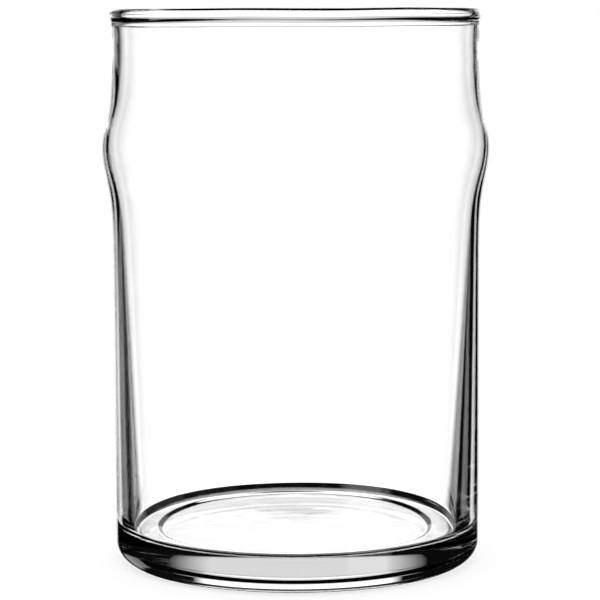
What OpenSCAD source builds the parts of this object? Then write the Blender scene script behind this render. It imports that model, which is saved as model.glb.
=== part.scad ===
// Straight-sided pint tumbler with a swelling below its rim, in clear glass.
// The whole glass is one piece: wall, rounded lip and heavy base are formed together.
// Millimetres. The origin is the centre of the foot, and +Z is the axis, towards the mouth.

/* [Body] */
// Height from the foot to the top of the lip
glass_h = 118; // [105:0.5:135]
// Outside diameter of the straight side, just above the heel
side_d = 78.9; // [74:0.1:84]
// How much narrower the outside is at the lip than at the heel, on the diameter
side_draft = 0.3; // [0:0.1:2]

/* [Swelling] */
// Depth of the widest point below the top of the lip
swell_down = 29.4; // [26:0.1:34]
// How far the wall stands out at the widest point
swell_out = 2.1; // [0:0.1:3]
// Reach of the swelling's slow lower side
swell_below = 9; // [7:0.1:10]
// Reach of the swelling's quick upper side
swell_above = 7.3; // [6:0.1:8]

/* [Wall] */
// Wall thickness, carried down to the foot
wall_low = 4.7; // [4:0.1:5.5]
// Wall thickness that the same taper reaches at the lip
wall_high = 0.1; // [0:0.1:0.5]
// Glass added behind the lip by the thickened neck
neck_gain = 1.35; // [1:0.05:1.6]
// Depth below the top of the lip at which the neck starts to thicken
neck_from_down = 27; // [24:0.5:29]
// Depth below the top of the lip at which the neck has its full thickness
neck_full_down = 6; // [5.5:0.5:8]

/* [Lip] */
// Height of the rolled lip's widest circle, below its top
lip_r = 1.2; // [1:0.05:1.5]
// How far the rolled lip stands out of the neck
lip_out = 0.45; // [0.2:0.05:0.7]
// Reach of the roll's outside below its widest circle
lip_reach = 1.1; // [0.8:0.05:1.4]
// How far the rolled lip stands into the mouth
lip_in = 0.6; // [0.3:0.05:0.9]
// Reach of the roll's inside below its widest circle
lip_in_reach = 1.4; // [1:0.1:2.2]

/* [Base] */
// Thickness of the floor over the foot ring
floor_z = 6.6; // [5:0.1:9]
// How far the squared-off corner between floor and wall reaches in from the wall
corner_in = 4.8; // [3:0.1:6]
// How far that corner reaches up from the floor
corner_up = 2.6; // [1.5:0.1:4]
// Flat between that corner and the low step round the floor
step_gap = 0.1; // [0.1:0.1:3]
// Width of the step's slope
step_wide = 1.6; // [0.8:0.1:2.4]
// Rise of the step
step_rise = 0.35; // [0.1:0.05:0.6]
// How far the heel rounds in from the side
heel_in = 3.6; // [2:0.1:5]
// How far the heel rounds up from the foot
heel_up = 4.5; // [3:0.1:6]
// Radius at which the flat foot ring ends and the hollow underside begins
foot_in_r = 30; // [24:0.5:31]
// Rise of the hollow underside at its centre
foot_rise = 0.2; // [0.1:0.1:1]

/* [Hidden] */
// Straight steps in each rounded stretch of the outline
ARC_STEPS = 12;
SWELL_STEPS = 22;
NECK_STEPS = 20;
LIP_STEPS = 14;
STEP_STEPS = 6;
// The swelling and the lip's roll have died away at this many reaches from their widest points
BELL_TAIL = 2.4;
// Least height between two stretches of the wall
CLEAR = 0.2;
$fn = 180;

lip_z = glass_h - lip_r;
swell_z = glass_h - swell_down;
neck_from = glass_h - neck_from_down;
neck_full = glass_h - neck_full_down;
swell_start = swell_z - BELL_TAIL * swell_below;
roll_start = max(neck_full + CLEAR, lip_z - BELL_TAIL * lip_in_reach);
heel_r = side_r(heel_up);
corner_top = floor_z + step_rise + corner_up;
corner_wall_r = bore_r(corner_top);
corner_foot_r = corner_wall_r - corner_in;
step_in_r = corner_foot_r - step_gap - step_wide;

// A bell curve: 1 at u = 0, and almost nothing past BELL_TAIL
function bell(u) = exp(-u * u);
// A smooth rise from 0 to 1
function ramp(u) = let (v = min(1, max(0, u))) v * v * (3 - 2 * v);
// The height at step i of n between two heights
function step_z(low, high, i, n) = low + (high - low) * i / n;

// How far the swelling stands out at a height
function swell(z) = swell_out * bell((z - swell_z) / (z < swell_z ? swell_below : swell_above));
// How far the lip's roll stands out, and in, at a height
function roll_out(z) = lip_out * bell((lip_z - z) / lip_reach);
function roll_in(z) = lip_in * bell((lip_z - z) / lip_in_reach);
// Outside radius at a height
function side_r(z) = (side_d - side_draft * z / glass_h) / 2 + swell(z) + roll_out(z);
// Wall thickness at a height
function wall_t(z) = wall_low + (wall_high - wall_low) * z / glass_h
    + neck_gain * ramp((z - neck_from) / (neck_full - neck_from))
    + roll_out(z) + roll_in(z);
// Inside radius at a height
function bore_r(z) = side_r(z) - wall_t(z);

lip_mid_r = (side_r(lip_z) + bore_r(lip_z)) / 2;
lip_half = (side_r(lip_z) - bore_r(lip_z)) / 2;

// Heights at which the walls need a point: close together where they curve
wall_heights = concat(
    [swell_start / 2],
    [for (i = [0:SWELL_STEPS]) step_z(swell_start, neck_from, i, SWELL_STEPS)],
    [for (i = [1:NECK_STEPS]) step_z(neck_from, neck_full, i, NECK_STEPS)],
    [for (i = [0:LIP_STEPS - 1]) step_z(roll_start, lip_z, i, LIP_STEPS)]);
wall_count = len(wall_heights);

// From the flat foot ring round the heel
heel_arc = [for (i = [0:ARC_STEPS]) let (a = 90 * i / ARC_STEPS)
    [heel_r - heel_in * (1 - sin(a)), heel_up * (1 - cos(a))]];
// Up the outside
outside = [for (z = wall_heights) [side_r(z), z]];
// Over the top of the lip
lip_arc = [for (i = [0:2 * ARC_STEPS]) let (a = 90 * i / ARC_STEPS)
    [lip_mid_r + lip_half * cos(a), lip_z + lip_r * sin(a)]];
// Down the inside
inside = [for (i = [1:wall_count]) let (z = wall_heights[wall_count - i]) [bore_r(z), z]];
// Round the corner on to the floor: a squared-off ellipse, with square roots where an ellipse has none
corner_arc = [for (i = [0:ARC_STEPS]) let (a = 90 * i / ARC_STEPS)
    [corner_wall_r - corner_in * (1 - sqrt(max(0, cos(a)))), corner_top - corner_up * sqrt(sin(a))]];
// Down the low step to the middle of the floor
step_arc = [for (i = [0:STEP_STEPS]) let (u = 1 - i / STEP_STEPS)
    [step_in_r + step_wide * u, floor_z + step_rise * ramp(u)]];
// From the middle of the hollow underside out to the foot ring
hollow_arc = [for (i = [0:ARC_STEPS]) let (u = i / ARC_STEPS)
    [foot_in_r * u, foot_rise * (1 - ramp(u))]];

// The glass: one outline turned about the axis
module tumbler() {
    color([0.86, 0.9, 0.9, 0.4])
        rotate_extrude()
            polygon(concat(heel_arc, outside, lip_arc, inside, corner_arc, step_arc, [[0, floor_z]], hollow_arc));
}

tumbler();
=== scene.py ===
"""The looks of the pint glass: its uneven clear glass, the studio round it, and the camera."""
import math

import bmesh
import bpy
from mathutils import Matrix, Vector, noise


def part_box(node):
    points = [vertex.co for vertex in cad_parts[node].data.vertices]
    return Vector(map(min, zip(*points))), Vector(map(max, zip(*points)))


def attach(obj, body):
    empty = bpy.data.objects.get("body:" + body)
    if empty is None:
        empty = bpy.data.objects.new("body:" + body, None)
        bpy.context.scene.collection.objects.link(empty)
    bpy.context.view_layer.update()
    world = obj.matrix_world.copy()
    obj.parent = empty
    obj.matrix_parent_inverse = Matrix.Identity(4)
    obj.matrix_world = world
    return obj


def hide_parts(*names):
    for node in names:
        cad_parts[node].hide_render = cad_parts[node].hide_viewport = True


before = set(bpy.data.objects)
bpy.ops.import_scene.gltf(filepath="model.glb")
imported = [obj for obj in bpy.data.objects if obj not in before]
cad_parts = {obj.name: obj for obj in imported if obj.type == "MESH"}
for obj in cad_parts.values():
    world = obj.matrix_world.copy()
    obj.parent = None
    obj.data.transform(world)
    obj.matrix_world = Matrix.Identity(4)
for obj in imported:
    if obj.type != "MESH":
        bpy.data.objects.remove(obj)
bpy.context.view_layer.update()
LOW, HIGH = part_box("tumbler")
GLASS_H = HIGH.z - LOW.z

# A millimetre, in metres.
MM = 0.001

# The outline, in millimetres: the same driving dimensions as the CAD model's.
TOP_Z = GLASS_H / MM
SIDE_D, SIDE_DRAFT = 78.9, 0.3
SWELL_Z, SWELL_OUT, SWELL_BELOW, SWELL_ABOVE = TOP_Z - 29.4, 2.1, 9.0, 7.3
WALL_LOW, WALL_HIGH = 4.7, 0.1
NECK_GAIN, NECK_FROM, NECK_FULL = 1.35, TOP_Z - 27.0, TOP_Z - 6.0
LIP_R, LIP_OUT, LIP_REACH, LIP_IN, LIP_IN_REACH = 1.2, 0.45, 1.1, 0.6, 1.4
FLOOR_Z, CORNER_IN, CORNER_UP = 6.6, 4.8, 2.6
STEP_GAP, STEP_WIDE, STEP_RISE = 0.1, 1.6, 0.35
HEEL_IN, HEEL_UP = 3.6, 4.5
FOOT_IN_R, FOOT_RISE = 30.0, 0.2
LIP_Z = TOP_Z - LIP_R

# What pressing and fire-polishing leave uneven, in millimetres: how far the bore's middle stands off the axis
# low down and at the lip, the wave of the inside wall, of the floor and of the lip, and how far apart their
# crests are.
BORE_OFF_LOW, BORE_OFF_TOP = -0.4, 0.25
WALL_WAVE, FLOOR_WAVE, LIP_WAVE = 0.03, 0.03, 0.12
WALL_CREST, WALL_CREST_UP, FLOOR_CREST, LIP_CREST = 14.0, 60.0, 5.0, 22.0

# Steps in the outline's round stretches (heel and corner, top of the lip, the lip's roll), in those of the
# wall, in those of the underside and the floor, and round the glass.
ARC_STEPS, HALF_STEPS, ROLL_STEPS = 18, 28, 18
SIDE_STEPS, SWELL_STEPS, NECK_STEPS = 12, 30, 28
HOLLOW_STEPS, STEP_STEPS, FLOOR_STEPS = 12, 10, 12
SEGMENTS = 300
# Where the stretches of the wall start and end, in millimetres: the side over the heel and below the
# swelling, the swelling below its widest point, the neck over its own start and below the lip's widest
# circle, and the roll below that circle. Then the clear height that the lowest inside wall point keeps over
# the corner.
SIDE_START, SIDE_END, SWELL_START = 2.0, 26.0, 24.0
NECK_START, NECK_END, ROLL_START, ROLL_END = 0.6, 3.2, 3.0, 0.12
CORNER_CLEAR = 0.2
# The heights, in millimetres, over which the lip's unevenness fades in up to the lip, and the wall's fades in
# over the floor.
LIP_FADE, WALL_FADE = 4.0, 4.0
# A place in the noise away from its zeros, for the floor's wave.
FLOOR_SEED = 9.5


def bell(u):
    """A bell curve: 1 at u = 0."""
    return math.exp(-u * u)


def ramp(u):
    """A smooth rise from 0 to 1."""
    v = min(1.0, max(0.0, u))
    return v * v * (3 - 2 * v)


def side_r(z):
    """Outside radius at a height, in millimetres."""
    reach = SWELL_BELOW if z < SWELL_Z else SWELL_ABOVE
    straight = (SIDE_D - SIDE_DRAFT * z / TOP_Z) / 2
    return straight + SWELL_OUT * bell((z - SWELL_Z) / reach) + LIP_OUT * bell((LIP_Z - z) / LIP_REACH)


def wall_t(z):
    """Wall thickness at a height, in millimetres."""
    taper = WALL_LOW + (WALL_HIGH - WALL_LOW) * z / TOP_Z
    neck = NECK_GAIN * ramp((z - NECK_FROM) / (NECK_FULL - NECK_FROM))
    lip = LIP_OUT * bell((LIP_Z - z) / LIP_REACH) + LIP_IN * bell((LIP_Z - z) / LIP_IN_REACH)
    return taper + neck + lip


def bore_r(z):
    """Inside radius at a height, in millimetres."""
    return side_r(z) - wall_t(z)


def spread(low, high, count):
    """Numbers from low to high, both included."""
    return [low + (high - low) * i / count for i in range(count + 1)]


def outline():
    """Points (radius, height, share of the bore's unevenness), in millimetres, from near the middle of the
    underside, out, up the outside, over the lip, down the inside and in to near the middle of the floor."""
    points = [(FOOT_IN_R * u, FOOT_RISE * (1 - ramp(u)), 0.0) for u in spread(0, 1, HOLLOW_STEPS)[1:]]
    heel_r = side_r(HEEL_UP)
    for a in spread(0, math.pi / 2, ARC_STEPS):
        points.append((heel_r - HEEL_IN * (1 - math.sin(a)), HEEL_UP * (1 - math.cos(a)), 0.0))
    heights = spread(HEEL_UP + SIDE_START, SWELL_Z - SIDE_END, SIDE_STEPS)
    heights += spread(SWELL_Z - SWELL_START, NECK_FROM, SWELL_STEPS)
    heights += spread(NECK_FROM + NECK_START, LIP_Z - NECK_END, NECK_STEPS)
    heights += spread(LIP_Z - ROLL_START, LIP_Z - ROLL_END, ROLL_STEPS)
    points += [(side_r(z), z, 0.0) for z in heights]
    middle = (side_r(LIP_Z) + bore_r(LIP_Z)) / 2
    half = (side_r(LIP_Z) - bore_r(LIP_Z)) / 2
    for a in spread(0, math.pi, HALF_STEPS):
        points.append((middle + half * math.cos(a), LIP_Z + LIP_R * math.sin(a), ramp(a / math.pi)))
    edge_z = FLOOR_Z + STEP_RISE
    corner_top = edge_z + CORNER_UP
    points += [(bore_r(z), z, 1.0) for z in reversed(heights) if z > corner_top + CORNER_CLEAR]
    wall_r = bore_r(corner_top)
    for a in spread(0, math.pi / 2, ARC_STEPS):
        points.append((wall_r - CORNER_IN * (1 - math.sqrt(max(0, math.cos(a)))),
                       corner_top - CORNER_UP * math.sqrt(math.sin(a)), 1.0))
    step_in = wall_r - CORNER_IN - STEP_GAP - STEP_WIDE
    for u in spread(1, 0, STEP_STEPS):
        points.append((step_in + STEP_WIDE * u, FLOOR_Z + STEP_RISE * ramp(u), 1.0))
    points += [(r, FLOOR_Z, 1.0) for r in spread(step_in, 0, FLOOR_STEPS)[1:-1]]
    return points


def uneven(x, y, z, share):
    """Moves a point of the perfect outline, in millimetres, to where real glass lies."""
    turn = math.atan2(y, x)
    on_lip = ramp((z - LIP_Z + LIP_FADE) / LIP_FADE)
    lip_way = Vector((math.cos(turn), math.sin(turn), 0)) * SIDE_D / 2 / LIP_CREST
    lift = LIP_WAVE * noise.noise(lip_way) * on_lip
    if share == 0:
        return x, y, z + lift
    on_wall = ramp((z - FLOOR_Z) / WALL_FADE) * share
    way = Vector((x / WALL_CREST, y / WALL_CREST, z / WALL_CREST_UP))
    swell = WALL_WAVE * noise.noise(way) * on_wall * (1 - on_lip)
    off = (BORE_OFF_LOW + (BORE_OFF_TOP - BORE_OFF_LOW) * z / TOP_Z) * share
    on_floor = (1 - on_wall) * (1 - on_lip)
    lift += FLOOR_WAVE * noise.noise(Vector((x / FLOOR_CREST, y / FLOOR_CREST, FLOOR_SEED))) * on_floor
    return x + off + swell * math.cos(turn), y + swell * math.sin(turn), z + lift


def build_glass():
    """The whole glass: the outline turned about the axis, each point moved to its uneven place."""
    mesh = bpy.data.meshes.new("pint_glass")
    made = bmesh.new()
    rings = []
    for radius, height, share in outline():
        ring = []
        for k in range(SEGMENTS):
            turn = 2 * math.pi * k / SEGMENTS
            point = uneven(radius * math.cos(turn), radius * math.sin(turn), height, share)
            ring.append(made.verts.new(Vector(point) * MM))
        rings.append(ring)
    for lower, upper in zip(rings, rings[1:]):
        for k in range(SEGMENTS):
            after = (k + 1) % SEGMENTS
            made.faces.new((lower[k], lower[after], upper[after], upper[k]))
    for ring, height, share in ((rings[0], FOOT_RISE, 0.0), (rings[-1], FLOOR_Z, 1.0)):
        hub = made.verts.new(Vector(uneven(0, 0, height, share)) * MM)
        for k in range(SEGMENTS):
            made.faces.new((ring[k], ring[(k + 1) % SEGMENTS], hub))
    bmesh.ops.recalc_face_normals(made, faces=made.faces)
    for face in made.faces:
        face.smooth = True
    made.to_mesh(mesh)
    made.free()
    glass = bpy.data.objects.new("pint_glass", mesh)
    bpy.context.scene.collection.objects.link(glass)
    return glass


class Tree:
    """A node tree with short ways to add and join nodes."""

    def __init__(self, tree):
        self.nodes, self.links = tree.nodes, tree.links
        self.nodes.clear()

    def add(self, kind, **values):
        """Adds a node. A value whose name starts with a capital letter goes to that input, and the rest to
        the node itself."""
        node = self.nodes.new(kind)
        for name, value in values.items():
            if name[0].islower():
                setattr(node, name, value)
            else:
                self.feed(node.inputs[name.replace("_", " ")], value)
        return node

    def feed(self, socket, value):
        """Joins an input to another node's output, or gives it a plain value."""
        if isinstance(value, bpy.types.NodeSocket):
            self.links.new(value, socket)
        else:
            socket.default_value = value

    def calc(self, kind, a, b=None):
        """The result of one sum on one or two values."""
        node = self.add("ShaderNodeMath", operation=kind)
        for socket, value in zip(node.inputs, (a, b)):
            if value is not None:
                self.feed(socket, value)
        return node.outputs[0]

    def between(self, value, low, high, to_low, to_high):
        """Maps low to high on to to_low to to_high, and stops at their ends."""
        node = self.add("ShaderNodeMapRange", Value=value, From_Min=low, From_Max=high,
                        To_Min=to_low, To_Max=to_high)
        return node.outputs[0]


# The finish of the glass. Smears: their noise's scale (per metre), its octaves and how rough those are, the
# noise values between which a smear's roughness rises, and that roughness. Ripples: their noise's scale and
# octaves, and how high a ripple is, in metres.
SMEAR_SCALE, SMEAR_DETAIL, SMEAR_GRAIN = 55.0, 5.0, 0.6
SMEAR_FROM, SMEAR_FULL, SMEAR_ROUGHNESS = 0.55, 0.75, 0.02
RIPPLE_SCALE, RIPPLE_DETAIL, RIPPLE_HEIGHT = 160.0, 1.0, 0.000002
GLASS_IOR = 1.52


def glass_material():
    """Clear soda-lime glass, fire-polished, with faint smears and ripples."""
    material = bpy.data.materials.new("clear_glass")
    material.use_nodes = True
    tree = Tree(material.node_tree)
    place = tree.add("ShaderNodeTexCoord").outputs["Object"]
    smear = tree.add("ShaderNodeTexNoise", Vector=place, Scale=SMEAR_SCALE, Detail=SMEAR_DETAIL,
                     Roughness=SMEAR_GRAIN)
    ripple = tree.add("ShaderNodeTexNoise", Vector=place, Scale=RIPPLE_SCALE, Detail=RIPPLE_DETAIL)
    bump = tree.add("ShaderNodeBump", Strength=1.0, Distance=RIPPLE_HEIGHT, Height=ripple.outputs[0])
    roughness = tree.between(smear.outputs[0], SMEAR_FROM, SMEAR_FULL, 0.0, SMEAR_ROUGHNESS)
    shader = tree.add("ShaderNodeBsdfPrincipled", Roughness=roughness, IOR=GLASS_IOR, Normal=bump.outputs[0])
    shader.inputs["Base Color"].default_value = (1, 1, 1, 1)
    shader.inputs["Transmission Weight"].default_value = 1.0
    tree.add("ShaderNodeOutputMaterial", Surface=shader.outputs[0])
    return material


# The white cards of the studio, seen from the glass, in degrees: the way that a card stands from +Y towards
# +X, half its width, how softly its upright edges fade, how low and how high it reaches, and its light. The
# first two stand behind the glass in the main picture, and the rest stand behind it from the side and from
# the corners. GAP_LIGHT is the light of the dark gaps between them.
BACK_LIGHT, UPPER_LIGHT, SIDE_LIGHT, GAP_LIGHT = 1.5, 0.75, 1.25, 0.003
BACK_WAY, SIDE_WAY, FRONT_CORNER_WAY, BACK_CORNER_WAY = 0, -90, -45, 135
BACK_HALF, BACK_LOW, BACK_HIGH = 22.0, -28.0, 11.0
UPPER_HALF, UPPER_SOFT, UPPER_HIGH = 26.0, 14.0, 19.5
SIDE_HALF, SIDE_LOW, SIDE_HIGH = 15.0, -10.5, 9.0
CORNER_HALF = 14.0
FRONT_CORNER_LOW, FRONT_CORNER_HIGH = -32, -18
BACK_CORNER_LOW, BACK_CORNER_HIGH = -22, -8
# How softly the upright edges and the level edges of a card fade, in degrees.
CARD_SOFT, EDGE_SOFT = 4.0, 2.5
CARDS = (
    (BACK_WAY, BACK_HALF, CARD_SOFT, BACK_LOW, BACK_HIGH, BACK_LIGHT),
    (BACK_WAY, UPPER_HALF, UPPER_SOFT, BACK_HIGH, UPPER_HIGH, UPPER_LIGHT),
    (SIDE_WAY, SIDE_HALF, CARD_SOFT, SIDE_LOW, SIDE_HIGH, SIDE_LIGHT),
    (FRONT_CORNER_WAY, CORNER_HALF, CARD_SOFT, FRONT_CORNER_LOW, FRONT_CORNER_HIGH, SIDE_LIGHT),
    (BACK_CORNER_WAY, CORNER_HALF, CARD_SOFT, BACK_CORNER_LOW, BACK_CORNER_HIGH, SIDE_LIGHT),
)


def add_world():
    """Pale to the camera; to every other ray, white cards with dark gaps between them."""
    world = bpy.data.worlds.new("studio")
    bpy.context.scene.world = world
    world.use_nodes = True
    tree = Tree(world.node_tree)
    way_out = tree.add("ShaderNodeSeparateXYZ", Vector=tree.add("ShaderNodeTexCoord").outputs["Generated"])
    azimuth = tree.calc("ARCTAN2", way_out.outputs[0], way_out.outputs[1])
    height = tree.calc("ARCSINE", way_out.outputs[2])

    def band(value, middle, half, soft):
        """1 within half of the middle and 0 beyond it. The change is soft wide, centred on the edge."""
        off = tree.calc("ABSOLUTE", tree.calc("SUBTRACT", value, math.radians(middle)))
        return tree.between(off, math.radians(half - soft / 2), math.radians(half + soft / 2), 1.0, 0.0)

    light = GAP_LIGHT
    for way, half, soft, low, high, strength in CARDS:
        from_card = tree.calc("PINGPONG", tree.calc("SUBTRACT", azimuth, math.radians(way)), math.pi)
        card = tree.calc("MULTIPLY", band(from_card, 0.0, half, soft),
                         band(height, (low + high) / 2, (high - low) / 2, EDGE_SOFT))
        light = tree.calc("MAXIMUM", tree.calc("MULTIPLY", card, strength), light)
    grey = tree.add("ShaderNodeCombineColor", Red=light, Green=light, Blue=light)
    studio = tree.add("ShaderNodeBackground", Color=grey.outputs[0])
    pale = tree.add("ShaderNodeBackground", Color=(1, 1, 1, 1))
    seen = tree.add("ShaderNodeLightPath").outputs["Is Camera Ray"]
    mix = tree.add("ShaderNodeMixShader", Fac=seen)
    tree.links.new(studio.outputs[0], mix.inputs[1])
    tree.links.new(pale.outputs[0], mix.inputs[2])
    tree.add("ShaderNodeOutputWorld", Surface=mix.outputs[0])


# How far the floor reaches, in glass heights, how far it lies below the foot, in millimetres, its own glow,
# and how pale its paint is. Then the lamp's strength and how wide it looks, in degrees.
FLOOR_REACH, FLOOR_GAP, FLOOR_GLOW, FLOOR_PALE = 60.0, 0.05, 0.80, 0.8
LAMP_LIGHT, LAMP_ANGLE = 1.1, 100.0


def add_floor():
    """A pale floor that glows a little, so that the glass leaves only a faint shadow on it. The glass shows
    the cards through it and not the floor, because the floor is seen by the camera alone."""
    reach = FLOOR_REACH * GLASS_H
    corners = [(-reach, -reach, 0), (reach, -reach, 0), (reach, reach, 0), (-reach, reach, 0)]
    mesh = bpy.data.meshes.new("floor")
    mesh.from_pydata(corners, [], [(0, 1, 2, 3)])
    floor = bpy.data.objects.new("floor", mesh)
    bpy.context.scene.collection.objects.link(floor)
    floor.location.z = LOW.z - FLOOR_GAP * MM
    floor.visible_transmission = False
    floor.visible_glossy = False
    floor.visible_diffuse = False
    material = bpy.data.materials.new("pale_floor")
    material.use_nodes = True
    tree = Tree(material.node_tree)
    matt = tree.add("ShaderNodeBsdfDiffuse", Color=(FLOOR_PALE, FLOOR_PALE, FLOOR_PALE, 1))
    glow = tree.add("ShaderNodeEmission", Strength=FLOOR_GLOW)
    both = tree.add("ShaderNodeAddShader")
    tree.links.new(matt.outputs[0], both.inputs[0])
    tree.links.new(glow.outputs[0], both.inputs[1])
    tree.add("ShaderNodeOutputMaterial", Surface=both.outputs[0])
    mesh.materials.append(material)


def add_lamp():
    """A broad soft lamp overhead, for the floor."""
    lamp = bpy.data.lights.new("top_lamp", "SUN")
    lamp.energy = LAMP_LIGHT
    lamp.angle = math.radians(LAMP_ANGLE)
    holder = bpy.data.objects.new("top_lamp", lamp)
    bpy.context.scene.collection.objects.link(holder)
    holder.visible_transmission = False
    holder.visible_glossy = False


# The camera: its distance and height in glass heights, its focal length and sensor width in millimetres, the
# nearest that it sees in metres, and its turns in degrees.
CAMERA_FAR, CAMERA_HIGH = 4.496, 0.997
FOCAL_LENGTH, SENSOR_WIDE, NEAREST_SEEN = 149.064, 36.0, 0.01
CAMERA_PITCH, CAMERA_YAW, CAMERA_ROLL = 6.66, 0.082, -0.25


def add_camera():
    """The main camera: in front of the glass, level with its lip, and looking a little down."""
    camera = bpy.data.cameras.new("camera")
    camera.sensor_width = SENSOR_WIDE
    camera.lens = FOCAL_LENGTH
    camera.clip_start = NEAREST_SEEN
    holder = bpy.data.objects.new("camera", camera)
    bpy.context.scene.collection.objects.link(holder)
    pitch, yaw, roll = (math.radians(a) for a in (CAMERA_PITCH, CAMERA_YAW, CAMERA_ROLL))
    forward = Vector((math.sin(yaw) * math.cos(pitch), math.cos(yaw) * math.cos(pitch), -math.sin(pitch)))
    right = Vector((math.cos(yaw), -math.sin(yaw), 0))
    up = right.cross(forward)
    level = Matrix((right, up, -forward)).transposed()
    place = Matrix.Translation((0, -CAMERA_FAR * GLASS_H, CAMERA_HIGH * GLASS_H))
    holder.matrix_world = place @ (level @ Matrix.Rotation(roll, 3, "Z")).to_4x4()
    bpy.context.scene.camera = holder


# How many times a ray may bend or bounce inside the glass.
MAX_BOUNCES = 12

glass = build_glass()
glass.data.materials.append(glass_material())
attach(glass, "root")
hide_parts("tumbler")
add_world()
add_floor()
add_lamp()
add_camera()
scene = bpy.context.scene
scene.view_settings.view_transform = "Standard"
scene.cycles.max_bounces = MAX_BOUNCES
scene.cycles.transmission_bounces = MAX_BOUNCES
scene.cycles.glossy_bounces = MAX_BOUNCES
scene.cycles.caustics_reflective = False
scene.cycles.caustics_refractive = False
scene.cycles.use_denoising = True
